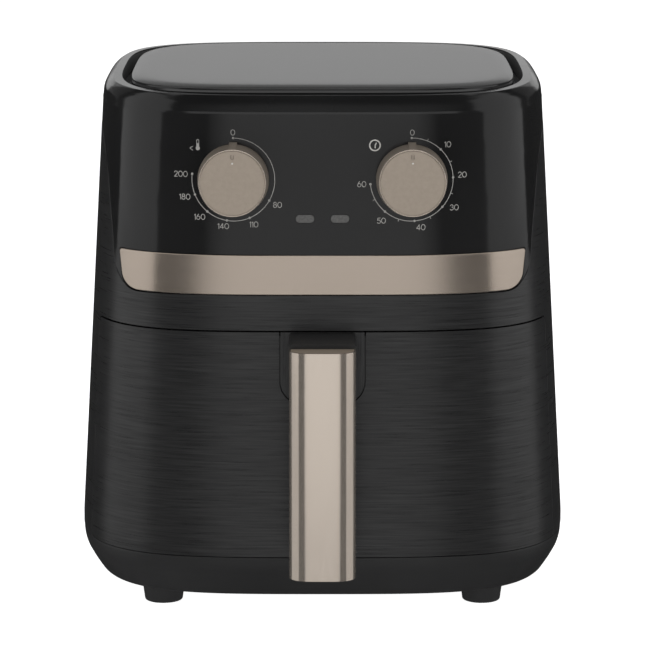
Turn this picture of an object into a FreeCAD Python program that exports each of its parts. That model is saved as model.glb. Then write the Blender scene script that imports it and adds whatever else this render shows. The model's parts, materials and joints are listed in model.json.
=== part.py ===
import FreeCAD, Part
import os, math
from FreeCAD import Vector as V

os.makedirs("parts", exist_ok=True)

# ---------------------------------------------------------------- driving dimensions (mm)
# body plan section: a squircle, half width A and half depth B, drafted from bottom to top
Z_LOW, Z_HIGH = 36.3, 288.35
A_LOW, A_HIGH = 141.5, 127.4
B_LOW, B_HIGH = 153.35, 140.9
K1, K2 = 0.6, 0.7704            # pole fractions of the quintic quadrant
Y_SHIFT = 25.13                 # moves the body back so the box, handle included, is centred

WALL = 2.4                      # shell wall
SHELL_STEP = 0.12               # upper shell lies this much below the main housing
Z_BASE_TOP = 38.0
Z_BODY_BOT = 38.4
Z_TUCK = 44.0                   # lower edge of the housing turns in from here down
TUCK = 0.3

Z_OPEN_TOP = 166.65             # drawer opening in the housing
Y_OPEN_TOP, Y_OPEN_BOT = -95.3, -101.6
Z_DRAWER_BOT, Z_DRAWER_TOP = 38.45, 165.7
DRAWER_GAP = 0.45

Z_PANEL_TOP = 287.0
RIM_SECTIONS = [(127.15, 140.49, 288.0), (126.6, 137.8, 292.6), (125.35, 136.15, 295.2), (123.5, 134.9, 297.2),
                (119.9, 133.4, 299.6)]          # narrow edge facet, then the bevel, flat in front and rounder at the sides
RIM_CREST = [(-150, 296.45), (-134, 296.5), (-115, 297.0), (-80, 298.1), (-40, 298.7), (0, 298.9)]   # side profile of the rim's top
RIM_IN_A, RIM_IN_B = 116.5, 130.2               # inner edge of the rim
LID_A, LID_B, Z_LID = 112.7, 123.2, 300.5
LID_K1, LID_K2 = 0.768, 0.7386                  # the lid's corners are tighter
Z_VENT = 284.0

TRIM_X, TRIM_Z0, TRIM_Z1 = 114.1, 186.6, 208.75
KNOB_X, KNOB_Z = 49.4, 250.8
KNOB_R, KNOB_SKIRT_R, KNOB_TOP = 18.5, 19.8, 23.15
LAMP_X, LAMP_Z, LAMP_W, LAMP_H = 9.7, 229.1, 10.2, 4.3

HANDLE_HALF, HANDLE_OUT = 18.25, 50.0
HANDLE_Z0, HANDLE_Z1 = 37.5, 163.2
ESC_HALF, ESC_Z0, ESC_R = 23.4, 125.4, 13.0
ESC_GROOVE = 0.75               # width of the groove round it

FAN_Y = -7.0                    # axis of motor, fan, heater and pan
LINER_X, LINER_Y0, LINER_Y1 = 111.2, -104.0, 111.2
LINER_Z0, LINER_Z1, LINER_T = 41.0, 199.2, 1.2
PAN_X, PAN_Y0, PAN_Y1, PAN_Z0, PAN_Z1, PAN_T = 102.6, -112.0, 98.0, 44.5, 150.0, 1.2
FOOT_X, FOOT_Y = 91.7, 98.8
FOOT_R0, FOOT_R1 = 10.8, 12.8

TILT = math.degrees(math.atan((B_LOW - B_HIGH) / (Z_HIGH - Z_LOW)))


# ---------------------------------------------------------------- helpers
def A(z):
    return A_LOW + (A_HIGH - A_LOW) * (z - Z_LOW) / (Z_HIGH - Z_LOW)


def B(z):
    return B_LOW + (B_HIGH - B_LOW) * (z - Z_LOW) / (Z_HIGH - Z_LOW)


def sec(a, b, z, k1=K1, k2=K2):
    p = [(0, b), (k1 * a, b), (k2 * a, b), (a, k2 * b), (a, k1 * b), (a, 0)]

    def q(pts):
        c = Part.BezierCurve()
        c.setPoles([V(x, y, z) for x, y in pts])
        return c.toShape()

    e1 = q([(x, -y) for x, y in p])
    e2 = q([(x, y) for x, y in reversed(p)])
    e3 = q([(-x, y) for x, y in p])
    e4 = q([(-x, -y) for x, y in reversed(p)])
    return Part.Wire([e1, e2, e3, e4])


def loft(*s):
    return Part.makeLoft([sec(*t) for t in s], True, True)


def body(o, z0, z1):
    return loft((A(z0) - o, B(z0) - o, z0), (A(z1) - o, B(z1) - o, z1))


def tucked(o, z0, z1):
    return loft((A(z0) - TUCK - o, B(z0) - TUCK - o, z0), (A(Z_TUCK) - o, B(Z_TUCK) - o, Z_TUCK),
                (A(z1) - o, B(z1) - o, z1))


def box(x0, x1, y0, y1, z0, z1):
    return Part.makeBox(x1 - x0, y1 - y0, z1 - z0, V(x0, y0, z0))


def cyl(r, p, d, h):
    return Part.makeCylinder(r, h, V(*p), V(*d))


def rpoly(pts, radii, to3):
    """closed wire through 2-D points with rounded corners"""
    n = len(pts)
    starts, ends, mids = [], [], []
    for i in range(n):
        p, a, b, r = pts[i], pts[i - 1], pts[(i + 1) % n], radii[i]
        ua = (a[0] - p[0], a[1] - p[1])
        ub = (b[0] - p[0], b[1] - p[1])
        la, lb = math.hypot(*ua), math.hypot(*ub)
        ua = (ua[0] / la, ua[1] / la)
        ub = (ub[0] / lb, ub[1] / lb)
        if r <= 0:
            starts.append(p); ends.append(p); mids.append(None)
            continue
        half = math.acos(max(-1, min(1, ua[0] * ub[0] + ua[1] * ub[1]))) / 2
        t = r / math.tan(half)
        bis = (ua[0] + ub[0], ua[1] + ub[1])
        lbis = math.hypot(*bis)
        bis = (bis[0] / lbis, bis[1] / lbis)
        c = (p[0] + bis[0] * r / math.sin(half), p[1] + bis[1] * r / math.sin(half))
        starts.append((p[0] + ua[0] * t, p[1] + ua[1] * t))
        ends.append((p[0] + ub[0] * t, p[1] + ub[1] * t))
        mids.append((c[0] - bis[0] * r, c[1] - bis[1] * r))
    edges = []
    for i in range(n):
        if mids[i] is not None:
            edges.append(Part.Arc(to3(*starts[i]), to3(*mids[i]), to3(*ends[i])).toShape())
        j = (i + 1) % n
        if math.hypot(ends[i][0] - starts[j][0], ends[i][1] - starts[j][1]) > 1e-6:
            edges.append(Part.LineSegment(to3(*ends[i]), to3(*starts[j])).toShape())
    return Part.Wire(edges)


def prism_xz(pts, radii, y0, y1):
    return Part.Face(rpoly(pts, radii, lambda x, z: V(x, y0, z))).extrude(V(0, y1 - y0, 0))


def prism_yz(pts, radii, x0, x1):
    return Part.Face(rpoly(pts, radii, lambda y, z: V(x0, y, z))).extrude(V(x1 - x0, 0, 0))


def prism_xy(pts, radii, z0, z1):
    return Part.Face(rpoly(pts, radii, lambda x, y: V(x, y, z0))).extrude(V(0, 0, z1 - z0))


def rect(x0, x1, y0, y1):
    return [(x0, y0), (x1, y0), (x1, y1), (x0, y1)]


def fuse(first, *rest):
    s = first
    for r in rest:
        s = s.fuse(r)
    return s.removeSplitter()


def front(u, x, z, depth=0.0):
    """places a shape built along +Z (outward) on the leaning front panel"""
    s = u.copy()
    s.rotate(V(0, 0, 0), V(1, 0, 0), 90.0 - TILT)
    a, b = A(z), B(z)
    t = abs(x) / a
    y = -b * (1 - t ** 3.83) ** (1 / 3.83)
    s.translate(V(x, y + depth, z))
    return s


NODES = {}


def put(name, shape):
    NODES[name] = shape


# ---------------------------------------------------------------- side profile between housing and upper shell
def upper_region(dy, dz):
    pts = [(-148, 186.2), (-140, 186.1), (-133, 185.8), (-128.5, 185.75), (-124.8, 186.6), (-120.85, 189.1), (-116.7, 193.0), (-113.1, 198.1),
           (-110.9, 203.5), (-108.9, 211.7), (-106.6, 219.9), (-101.9, 233.0), (-92.0, 254.6), (-78.8, 266.4), (-50, 271.5)]
    c = Part.BSplineCurve()
    c.interpolate([V(-220, y + dy, z + dz) for y, z in pts])
    def L(p, q):
        return Part.LineSegment(V(-220, p[0] + dy, p[1] + dz), V(-220, q[0] + dy, q[1] + dz)).toShape()
    w = Part.Wire([L((-260, 186.2), pts[0]), c.toShape(), L(pts[-1], (260, 278)), L((260, 278), (260, 400)),
                   L((260, 400), (-260, 400)), L((-260, 400), (-260, 186.2))])
    return Part.Face(w).extrude(V(440, 0, 0))


def drawer_region(g, z0, z1, r0, r1):
    """everything in front of the slanted side edge of the drawer, g behind-gap"""
    s = (Y_OPEN_TOP - Y_OPEN_BOT) / (165.6 - 38.0)
    y = lambda z: Y_OPEN_BOT + s * (z - 38.0) - g
    return prism_yz([(-260, z0), (y(z0), z0), (y(z1), z1), (-260, z1)], [0, r0, r1, 0], -220, 220)


# ---------------------------------------------------------------- main housing
mh = tucked(0, Z_BODY_BOT, 282).cut(tucked(WALL, Z_BODY_BOT - 0.1, 283))
mh = mh.cut(upper_region(0, 0))
mh = mh.cut(drawer_region(0, 20, Z_OPEN_TOP, 0, 4.0))
OUT_X, OUT_Z0, OUT_Z1 = 48.0, 168.0, 200.0
mh = mh.cut(prism_xz(rect(-OUT_X, OUT_X, OUT_Z0, OUT_Z1), [5] * 4, 100, 200))
BS = [(sx * 120.0, sy) for sx in (-1, 1) for sy in (-55.0, 60.0)]
full = tucked(0.6, Z_BODY_BOT, 100)
for x, y in BS:
    sx = 1 if x > 0 else -1
    b_ = box(min(sx * 113.5, sx * 142), max(sx * 113.5, sx * 142), y - 5, y + 5, 40.4, 56).common(full)
    mh = mh.fuse(b_)
    mh = mh.cut(cyl(1.72, (x, y, 30), (0, 0, 1), 24))
GL_X, GL_Z = -60.0, 38.1
gl_notch = box(GL_X - 6.3, GL_X + 6.3, 120, 200, GL_Z - 6.3, GL_Z + 6.3)
gl_pocket = box(GL_X - 8.4, GL_X + 8.4, 151.5, 200, GL_Z - 8.4, GL_Z + 8.4)
mh = mh.cut(gl_notch).cut(gl_pocket).removeSplitter()
put("main_housing", mh)

# ---------------------------------------------------------------- upper shell with control panel and rim
us = loft((A(180) - SHELL_STEP, B(180) - SHELL_STEP, 180), (A(Z_PANEL_TOP) - SHELL_STEP, B(Z_PANEL_TOP) - SHELL_STEP, Z_PANEL_TOP), *RIM_SECTIONS)
us = us.cut(body(WALL + SHELL_STEP, 179, Z_VENT))
us = us.cut(loft((RIM_IN_A, RIM_IN_B, Z_VENT - 1), (RIM_IN_A, RIM_IN_B, 300.2)))
crest = Part.BSplineCurve()
crest.interpolate([V(-220, y, z) for y, z in RIM_CREST])
crest_w = [crest.toShape()]
for p, q in zip([RIM_CREST[-1], (260, 298.9), (260, 400), (-150, 400)], [(260, 298.9), (260, 400), (-150, 400), RIM_CREST[0]]):
    crest_w.append(Part.LineSegment(V(-220, *p), V(-220, *q)).toShape())
us = us.cut(Part.Face(Part.Wire(crest_w)).extrude(V(440, 0, 0)))
us = us.common(upper_region(-0.3, 0.35))
TRIM_R = [10, 10, 1.6, 1.6]
trim_pts = lambda e, low=0.0: [(-(TRIM_X - 2.1) - e, TRIM_Z0 - e - low), (TRIM_X - 2.1 + e, TRIM_Z0 - e - low), (TRIM_X + e, TRIM_Z1 + e),
                               (-TRIM_X - e, TRIM_Z1 + e)]
pocket = body(-3, 170, 240).cut(body(SHELL_STEP + 1.2, 169, 241))
us = us.cut(pocket.common(prism_xz(trim_pts(0.35, 0.9), TRIM_R, -230, -60)))
shaft_hole = cyl(4.2, (0, 0, -12), (0, 0, 1), 20)
for sx in (-1, 1):
    us = us.cut(front(shaft_hole, sx * KNOB_X, KNOB_Z))
lamp = lambda cx, e, y0, y1: prism_xz(rect(cx - LAMP_W / 2 - e, cx + LAMP_W / 2 + e, LAMP_Z - LAMP_H / 2 - e, LAMP_Z + LAMP_H / 2 + e),
                                      [LAMP_H / 2 - 0.05 + e] * 4, y0, y1)
for sx in (-1, 1):
    us = us.cut(lamp(sx * LAMP_X, 0.2, -230, -100))
for sx in (-1, 1):
    post = cyl(3.0, (sx * 24.0, -145, LAMP_Z), (0, 1, 0), 12).common(body(SHELL_STEP + 0.5, 200, 260))
    us = us.fuse(post)
us = us.removeSplitter()
put("upper_shell", us)

# ---------------------------------------------------------------- trim band, lamp lenses, lamp board
trim = body(-0.45, 170, 240).cut(body(SHELL_STEP + 1.1, 169, 241)).common(prism_xz(trim_pts(0), TRIM_R, -230, -60))
trim = trim.common(upper_region(-0.5, 0.32))
put("trim_band", trim)
lens = None
for sx in (-1, 1):
    l_ = body(0.15, 215, 245).cut(body(6.0, 214, 246)).common(lamp(sx * LAMP_X, 0, -230, -100))
    lens = l_ if lens is None else lens.fuse(l_)
put("indicator_lenses", lens)
lb = box(-30, 30, -133.0, -131.4, LAMP_Z - 7, LAMP_Z + 7)
for sx in (-1, 1):
    lb = lb.fuse(cyl(1.9, (sx * LAMP_X, -137.0, LAMP_Z), (0, 1, 0), 4.2))
put("lamp_board", lb.removeSplitter())

# ---------------------------------------------------------------- lid and vent grille
LS = lambda d, z: (LID_A - d, LID_B - d, z, LID_K1, LID_K2)
lid = loft(LS(1.4, Z_VENT + 0.1), LS(0.3, 296.4), LS(0.3, 296.85), LS(1.1, 297.6), LS(1.25, 298.4), LS(1.75, 298.92), LS(2.75, 299.4),
           LS(4.2, 299.8), LS(6.1, 300.13), LS(8.9, 300.38), LS(13.5, 300.5))
lid = lid.cut(loft(LS(4.2, Z_VENT), LS(4.2, 297.0)))
put("top_cover", lid)
vg = loft((RIM_IN_A + 4.6, RIM_IN_B + 4.6, 281.4), (RIM_IN_A + 4.6, RIM_IN_B + 4.6, Z_VENT - 0.05))
vg = vg.cut(loft((98, 108.8, 281), (98, 108.8, Z_VENT + 1)))
slots = []
NS = 72
for i in range(NS):
    th = 2 * math.pi * (i + 0.5) / NS
    c, s = math.cos(th), math.sin(th)
    r = lambda a, b: (abs(c / a) ** 3.83 + abs(s / b) ** 3.83) ** (-1 / 3.83)
    rm = r(LID_A + 2.3, LID_B + 3.0)
    px, py = rm * c, rm * s
    nx = math.copysign(abs(px / LID_A) ** 2.83 / LID_A, px)
    ny = math.copysign(abs(py / LID_B) ** 2.83 / LID_B, py)
    ang = math.degrees(math.atan2(ny, nx))
    sb = Part.makeBox(4.6, 2.6, 6, V(-2.3, -1.3, 280))
    sb.rotate(V(0, 0, 0), V(0, 0, 1), ang)
    sb.translate(V(px, py, 0))
    slots.append(sb)
vg = vg.cut(Part.makeCompound(slots))
put("vent_grille", vg)

# ---------------------------------------------------------------- base, feet, screws
BASE_A = [(140.6, Z_BASE_TOP), (140.85, 36.4), (140.5, 32.8), (139.4, 29.0), (137.4, 25.0), (135.1, 20.9), (132.7, 17.1), (131.2, 15.1),
          (129.0, 13.8), (124.0, 13.05), (115.0, 12.6)]
base = loft(*[(a, a + 11.85, z) for a, z in BASE_A])
solid_base = base.copy()
base = base.cut(loft(*[(a, a + 11.85, z) for a, z in [(137.6, Z_BASE_TOP + 0.5), (137.9, 33.0), (137.0, 29.6), (135.0, 25.8), (130.2, 18.4),
                                                      (127.8, 16.6), (121.0, 15.4)]]))
for sx in (-1, 1):
    for sy in (-1, 1):
        base = base.fuse(cyl(14.0, (sx * FOOT_X, sy * FOOT_Y, 9.0), (0, 0, 1), 12).common(solid_base))
        base = base.fuse(cyl(6.0, (sx * 80.0, sy * 60.0, 13.5), (0, 0, 1), LINER_Z0 - 0.05 - 13.5))
for x, y in BS:
    base = base.fuse(cyl(5.0, (x, y, 10.0), (0, 0, 1), 30.0).common(fuse(solid_base, box(-200, 200, -200, 200, 30, 40))))
for x, y in BS:
    base = base.cut(cyl(3.9, (x, y, 5.0), (0, 0, 1), 17.0)).cut(cyl(1.8, (x, y, 20.0), (0, 0, 1), 25))
feet = None
fscr = None
for sx in (-1, 1):
    for sy in (-1, 1):
        x, y = sx * FOOT_X, sy * FOOT_Y
        base = base.cut(Part.makeCone(FOOT_R0 + 0.1, FOOT_R1 + 0.1, 14.6, V(x, y, 0)))
        base = base.cut(cyl(2.05, (x, y, 10), (0, 0, 1), 8.6))
        f = Part.makeCone(FOOT_R0, FOOT_R1, 14.5, V(x, y, 0))
        f = f.makeFillet(1.3, [e for e in f.Edges if e.CenterOfMass.z < 0.01 and len(e.Vertexes) == 1])
        f = f.cut(cyl(4.3, (x, y, -1), (0, 0, 1), 5.6)).cut(cyl(2.1, (x, y, 0), (0, 0, 1), 20))
        feet = f if feet is None else feet.fuse(f)
        s = fuse(cyl(4.0, (x, y, 1.8), (0, 0, 1), 2.8), cyl(2.0, (x, y, 4.6), (0, 0, 1), 13.4))
        s = s.cut(box(x - 3, x + 3, y - 0.5, y + 0.5, 1.0, 2.9))
        fscr = s if fscr is None else fscr.fuse(s)
base = base.cut(gl_notch).cut(gl_pocket).removeSplitter()
put("base", base)
put("feet", feet)
put("foot_screws", fscr)
bscr = None
for x, y in BS:
    s = fuse(cyl(3.5, (x, y, 19.0), (0, 0, 1), 3.0), cyl(1.7, (x, y, 22.0), (0, 0, 1), 31.0))
    bscr = s if bscr is None else bscr.fuse(s)
put("base_screws", bscr)

# ---------------------------------------------------------------- cord gland
gl = fuse(box(GL_X - 6.0, GL_X + 6.0, 143.0, 152.0, GL_Z - 6.0, GL_Z + 6.0),
          prism_yz([(151.6, GL_Z - 8.0), (152.5, GL_Z - 8.0), (152.85, GL_Z), (152.85, GL_Z + 8.0), (151.6, GL_Z + 8.0)], [0, 0.5, 0, 0.5, 0],
                   GL_X - 8.0, GL_X + 8.0))
gl = gl.cut(cyl(3.6, (GL_X, 130, GL_Z), (0, 1, 0), 40))
put("cord_gland", gl)

# ---------------------------------------------------------------- rear outlet grille and duct
og = body(-0.0, 150, 220).cut(body(WALL + 1.5, 149, 221)).common(
    prism_xz(rect(-OUT_X + 0.4, OUT_X - 0.4, OUT_Z0 + 0.4, OUT_Z1 - 0.4), [4.6] * 4, 80, 230))
cuts = []
for i in range(5):
    z0 = OUT_Z0 + 4.0 + i * 5.1
    for x0 in (-43.5, -13.5, 16.5):
        cuts.append(box(x0, x0 + 27.0, 100, 200, z0, z0 + 3.2))
og = og.cut(Part.makeCompound(cuts))
put("rear_outlet_grille", og)
duct = box(-44, 44, LINER_Y1 + 0.05, 140.3, 170, 197).cut(box(-42.8, 42.8, 100, 150, 171.2, 195.8))
put("outlet_duct", duct)

# ---------------------------------------------------------------- cooking chamber
def plan(x, y0, y1, rf, rr, z0, z1):
    return prism_xy([(-x, y0), (x, y0), (x, y1), (-x, y1)], [rf, rf, rr, rr], z0, z1)


ln = plan(LINER_X, LINER_Y0, LINER_Y1, 0, 20, LINER_Z0, LINER_Z1)
ln = ln.cut(plan(LINER_X - LINER_T, LINER_Y0 + LINER_T, LINER_Y1 - LINER_T, 0, 18.8, LINER_Z0 + LINER_T, LINER_Z1 - LINER_T))
ln = ln.cut(box(-LINER_X + LINER_T, LINER_X - LINER_T, -120, -100, LINER_Z0 + LINER_T, 163))
ln = ln.cut(cyl(5.0, (0, FAN_Y, 190), (0, 0, 1), 20))
ln = ln.cut(box(-42.0, 42.0, 105, 120, 172, 195))
HT_R, HT_r, HT_Z = 70.0, 3.25, 168.0
HT_BEND, HT_ANG = 8.0, math.radians(106)
ht_p = V(HT_R * math.cos(HT_ANG), FAN_Y + HT_R * math.sin(HT_ANG), HT_Z)      # where the ring ends and bends up
ht_t = V(math.sin(HT_ANG), -math.cos(HT_ANG), 0)
tx, ty = abs(ht_p.x + HT_BEND * ht_t.x), ht_p.y + HT_BEND * ht_t.y
for sx in (-1, 1):
    ln = ln.cut(cyl(4.2, (sx * tx, ty, 190), (0, 0, 1), 20))
put("chamber_liner", ln)
rails = None
for sx in (-1, 1):
    r_ = box(min(sx * 104.2, sx * 110), max(sx * 104.2, sx * 110), -98, 88, 142, 147.0)
    rails = r_ if rails is None else rails.fuse(r_)
put("drawer_rails", rails)

disc = Part.Face(Part.Wire([Part.makeCircle(HT_r, ht_p, ht_t)]))
ht = disc.revolve(V(0, FAN_Y, HT_Z), V(0, 0, 1), 360 - 2 * math.degrees(HT_ANG - math.pi / 2))
bend = disc.revolve(ht_p + V(0, 0, HT_BEND), V(ht_t.y, -ht_t.x, 0), -90)
if bend.CenterOfMass.x < ht_p.x:
    bend = disc.revolve(ht_p + V(0, 0, HT_BEND), V(ht_t.y, -ht_t.x, 0), 90)
leg = cyl(HT_r, (-tx, ty, HT_Z + HT_BEND), (0, 0, 1), 38)
for b_ in (bend, leg):
    ht = ht.fuse(b_).fuse(b_.mirror(V(0, 0, 0), V(1, 0, 0)))
put("heating_element", ht)
sup = None
for k in range(4):
    a = math.radians(45 + 90 * k)
    px, py = 83.0 * math.cos(a), FAN_Y + 83.0 * math.sin(a)
    s = cyl(2.0, (px, py, 157.55), (0, 0, 1), 40.4)
    arm = box(73.5, 83.0, -1.5, 1.5, 166.5, 169.5)
    arm.rotate(V(0, 0, 0), V(0, 0, 1), 45 + 90 * k)
    arm.translate(V(0, FAN_Y, 0))
    s = fuse(s, arm)
    sup = s if sup is None else sup.fuse(s)
put("heater_supports", sup)


def ann(r1, r0, z0, z1):
    return cyl(r1, (0, FAN_Y, z0), (0, 0, 1), z1 - z0).cut(cyl(r0, (0, FAN_Y, z0 - 1), (0, 0, 1), z1 - z0 + 2))


gd = fuse(ann(86, 80, 156, 157.5), ann(60, 56, 156, 157.5), ann(34, 30, 156, 157.5))
for k in range(4):
    sp = box(30.5, 85.5, -1.6, 1.6, 156, 157.5)
    sp.rotate(V(0, 0, 0), V(0, 0, 1), 45 + 90 * k)
    sp.translate(V(0, FAN_Y, 0))
    gd = gd.fuse(sp)
put("heater_guard", gd.removeSplitter())

# ---------------------------------------------------------------- motor and fans
br = box(-48, 48, FAN_Y - 32, FAN_Y + 32, 206, 207.6).cut(cyl(14, (0, FAN_Y, 200), (0, 0, 1), 20))
for sx in (-1, 1):
    br = br.fuse(box(min(sx * 46.4, sx * 48), max(sx * 46.4, sx * 48), FAN_Y - 32, FAN_Y + 32, LINER_Z1 + 0.05, 206))
    br = br.fuse(box(min(sx * 46.4, sx * 58), max(sx * 46.4, sx * 58), FAN_Y - 32, FAN_Y + 32, LINER_Z1 + 0.05, LINER_Z1 + 1.6))
MS = [(sx * 15.5, FAN_Y + sy * 15.5) for sx in (-1, 1) for sy in (-1, 1)]
mo = fuse(cyl(29, (0, FAN_Y, 207.65), (0, 0, 1), 32.4), cyl(12, (0, FAN_Y, 240.0), (0, 0, 1), 4))
mo = mo.cut(cyl(3.05, (0, FAN_Y, 200), (0, 0, 1), 60))
ms = None
for x, y in MS:
    br = br.cut(cyl(1.8, (x, y, 200), (0, 0, 1), 20))
    mo = mo.cut(cyl(1.75, (x, y, 200), (0, 0, 1), 14.6))
    s = fuse(cyl(3.2, (x, y, 203.3), (0, 0, 1), 2.65), cyl(1.7, (x, y, 205.9), (0, 0, 1), 8.2))
    ms = s if ms is None else ms.fuse(s)
put("motor_bracket", br.removeSplitter())
put("fan_motor", mo)
put("motor_screws", ms)
put("motor_shaft", cyl(3.0, (0, FAN_Y, 174), (0, 0, 1), 88))
hf = fuse(cyl(11, (0, FAN_Y, 182), (0, 0, 1), 12), cyl(58, (0, FAN_Y, 192.4), (0, 0, 1), 1.2))
for k in range(12):
    bl = box(10, 57, -0.6, 0.6, 182.5, 192.6)
    bl.rotate(V(10, 0, 0), V(0, 0, 1), 18)
    bl = bl.common(cyl(57.5, (0, 0, 170), (0, 0, 1), 40))
    bl.rotate(V(0, 0, 0), V(0, 0, 1), 30 * k)
    bl.translate(V(0, FAN_Y, 0))
    hf = hf.fuse(bl)
hf = hf.removeSplitter().cut(cyl(3.02, (0, FAN_Y, 170), (0, 0, 1), 40))
put("hot_air_fan", hf)
hexp = [(5.8 * math.cos(math.radians(60 * i)), FAN_Y + 5.8 * math.sin(math.radians(60 * i))) for i in range(6)]
put("fan_nut", prism_xy(hexp, [0] * 6, 176.4, 181.95).cut(cyl(3.02, (0, FAN_Y, 170), (0, 0, 1), 20)))
cf = cyl(9, (0, FAN_Y, 248), (0, 0, 1), 11)
for k in range(6):
    bl = box(6, 50, -9, 9, -0.7, 0.7)
    bl.rotate(V(0, 0, 0), V(1, 0, 0), 28)
    bl.rotate(V(0, 0, 0), V(0, 0, 1), 60 * k)
    bl.translate(V(0, FAN_Y, 253.5))
    cf = cf.fuse(bl)
cf = cf.removeSplitter().cut(cyl(3.02, (0, FAN_Y, 240), (0, 0, 1), 40))
put("cooling_fan", cf)

# ---------------------------------------------------------------- controls (built along +Z, outward, then set on the panel)
def knob_body():
    pr = [(3.05, 1.4), (KNOB_SKIRT_R, 1.4), (KNOB_SKIRT_R - 0.05, 2.4), (KNOB_R, 22.0), (KNOB_R - 0.08, 22.45), (KNOB_R - 0.3, 22.85),
          (KNOB_R - 0.55, 23.0), (17.75, 23.0), (17.75, 21.9), (5.2, 21.9), (5.2, 17.2), (3.05, 17.2)]
    w = Part.makePolygon([V(r, 0, z) for r, z in pr + [pr[0]]])
    k = Part.Face(w).revolve(V(0, 0, 0), V(0, 0, 1), 360)
    lug = prism_yz([(17.9, 1.4), (20.9, 1.4), (20.7, 3.4), (18.65, 20.5), (17.9, 20.5)], [0, 0, 1.0, 0, 0], -2.2, 2.2)
    return k.fuse(lug).removeSplitter()


def knob_cap():
    pr = [(0, 21.95), (17.68, 21.95), (17.68, 22.9), (17.5, 23.0), (9.0, 23.1), (0, KNOB_TOP)]
    w = Part.makePolygon([V(r, 0, z) for r, z in pr + [pr[0]]])
    k = Part.Face(w).revolve(V(0, 0, 0), V(0, 0, 1), 360)
    k = k.fuse(cyl(5.1, (0, 0, 17.3), (0, 0, 1), 4.8))
    slot = prism_xy(rect(-1.0, 1.0, 12.9, 15.9), [0.9] * 4, 22.6, 25)
    return k.cut(slot).removeSplitter()


def control(hx, hy, depth):
    c = box(-hx, hx, -hy, hy, -7 - depth, -7)
    c = c.fuse(cyl(6.0, (0, 0, -7.1), (0, 0, 1), 2.9))
    return c.removeSplitter().cut(cyl(3.05, (0, 0, -15), (0, 0, 1), 20))


shaft = cyl(3.0, (0, 0, -14.0), (0, 0, 1), 31.0)
put("temperature_knob", front(knob_body(), -KNOB_X, KNOB_Z))
put("temperature_knob_cap", front(knob_cap(), -KNOB_X, KNOB_Z))
put("thermostat_shaft", front(shaft, -KNOB_X, KNOB_Z))
put("thermostat", front(control(15, 17, 16), -KNOB_X, KNOB_Z))
put("timer_knob", front(knob_body(), KNOB_X, KNOB_Z))
put("timer_knob_cap", front(knob_cap(), KNOB_X, KNOB_Z))
put("timer_shaft", front(shaft, KNOB_X, KNOB_Z))
put("timer", front(control(17, 19, 22), KNOB_X, KNOB_Z))
bell = fuse(cyl(15, (0, 0, -38), (0, 0, 1), 6), cyl(3, (0, 0, -33), (0, 0, 1), 3.95))
bell = bell.cut(cyl(13.6, (0, 0, -36.6), (0, 0, 1), 4.7).cut(cyl(3, (0, 0, -40), (0, 0, 1), 20)))
put("timer_bell", front(bell, KNOB_X, KNOB_Z))

# ---------------------------------------------------------------- small electrics
put("thermal_fuse", fuse(box(34, 56, 49, 57, LINER_Z1 + 0.05, LINER_Z1 + 1.6),
                         Part.makeCylinder(3.0, 16, V(37, 53, LINER_Z1 + 4.2), V(1, 0, 0))))
put("terminal_block", box(-75, -45, LINER_Y1 + 0.05, 126, 46, 60))
SW_X, SW_Z = 80.0, 158.0
sw = box(74, 86, -109.5, LINER_Y0 - 0.05, 153.2, 172).cut(cyl(2.05, (SW_X, -115, SW_Z), (0, 1, 0), 10.7))
put("drawer_switch", sw)
put("switch_plunger", cyl(2.0, (SW_X, -111.55, SW_Z), (0, 1, 0), 5.35))

# ---------------------------------------------------------------- drawer
inside = drawer_region(DRAWER_GAP, Z_DRAWER_BOT, Z_DRAWER_TOP, 3.0, 3.6)
df = tucked(0, Z_DRAWER_BOT, Z_DRAWER_TOP + 1).cut(tucked(WALL, Z_DRAWER_BOT - 0.1, Z_DRAWER_TOP + 2)).common(inside)
ins_f = box(-220, 220, -230, -119, 30, 200)
lip_t = body(1.0, Z_DRAWER_TOP - 2.4, Z_DRAWER_TOP).cut(body(14, Z_DRAWER_TOP - 3, Z_DRAWER_TOP + 1)).common(ins_f)
lip_b = tucked(1.0, Z_DRAWER_BOT, 60).cut(tucked(14, Z_DRAWER_BOT - 1, 61)).common(ins_f).common(
    box(-220, 220, -230, 0, Z_DRAWER_BOT, Z_DRAWER_BOT + 2.2))
df = df.fuse(lip_t).fuse(lip_b)
CS = [(sx * 106.0, z) for sx in (-1, 1) for z in (60.0, 145.0)]
for x, z in CS:
    df = df.fuse(cyl(4.5, (x, -160, z), (0, 1, 0), 160 - 117.05).common(body(1.0, 40, 164)))
esc_pts = lambda e, top: [(-ESC_HALF - e, ESC_Z0 - e), (ESC_HALF + e, ESC_Z0 - e), (ESC_HALF + e, top), (-ESC_HALF - e, top)]
df = df.cut(prism_xz(esc_pts(ESC_GROOVE, 180), [ESC_R + ESC_GROOVE, ESC_R + ESC_GROOVE, 0, 0], -230, -100))
for x, z in CS:
    df = df.cut(cyl(1.75, (x, -123.5, z), (0, 1, 0), 10))
df = df.removeSplitter()
put("drawer_front", df)
es = body(0.15, 100, 170).cut(body(5.0, 99, 171)).common(prism_xz(esc_pts(0, Z_DRAWER_TOP), [ESC_R, ESC_R, 0, 0], -230, -100))
es = es.fuse(body(WALL + 0.2, 100, 170).cut(body(5.0, 99, 171)).common(
    prism_xz(esc_pts(4.0, Z_DRAWER_TOP - 2.7), [ESC_R + 4, ESC_R + 4, 3, 3], -230, -100)))
HS = [(-9.0, 156.5), (9.0, 156.5)]
for x, z in HS:
    es = es.cut(cyl(2.6, (x, -170, z), (0, 1, 0), 60))
es = es.removeSplitter()
put("handle_escutcheon", es)

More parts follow.
